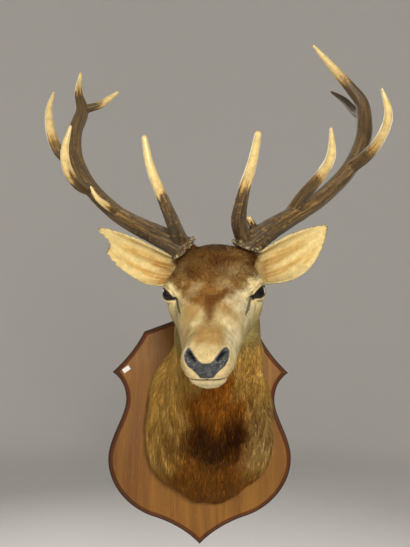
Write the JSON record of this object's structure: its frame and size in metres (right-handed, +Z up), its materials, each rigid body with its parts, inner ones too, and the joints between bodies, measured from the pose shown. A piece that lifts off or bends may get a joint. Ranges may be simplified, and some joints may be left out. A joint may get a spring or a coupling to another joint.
{
  "type": "red deer stag head mount",
  "caption": "Life-size red deer stag head and neck mount with branching antlers on a moulded oak shield, hung flat on a wall",
  "frame": {"origin": "on the flat back of the board, on its centre line, 266 mm below its peak", "axes": "+X to the viewer's right as one faces the mount, +Y into the wall, +Z up"},
  "size_m": [0.7088, 0.5168, 1.0732],
  "materials": {
    "coat": "short flat hair",
    "neck_coat": "long coarse hair",
    "ear_coat": "fine short hair",
    "nose": "pebbled, dull",
    "eye": "glass eye, glossy",
    "antler": "furrowed, dull",
    "ivory": "polished tips",
    "oak": "satin varnish",
    "paper": "matt",
    "steel": "zinc plated"
  },
  "bodies": {
    "root": {"board": "oak", "hanger_plate": "steel", "hanger_screw_1": "steel", "hanger_screw_2": "steel", "blank_label": "paper", "neck": "neck_coat", "head": "coat", "lower_jaw": "coat", "nose_pad": "nose", "eye_left": "eye", "eye_right": "eye", "ear_left": "ear_coat", "ear_right": "ear_coat", "antler_left_lower_beam": "antler", "antler_left_upper_beam": "antler", "antler_left_top_tine": "ivory", "antler_left_brow_tine": "ivory", "antler_left_bez_tine": "ivory", "antler_left_trez_tine": "ivory", "antler_left_outer_tine": "ivory", "antler_left_crown_tine": "ivory", "antler_right_lower_beam": "antler", "antler_right_upper_beam": "antler", "antler_right_top_tine": "ivory", "antler_right_brow_tine": "ivory", "antler_right_bez_tine": "ivory", "antler_right_trez_tine": "ivory", "antler_right_outer_tine": "ivory", "antler_right_crown_tine": "ivory"}
  },
  "joints": []
}
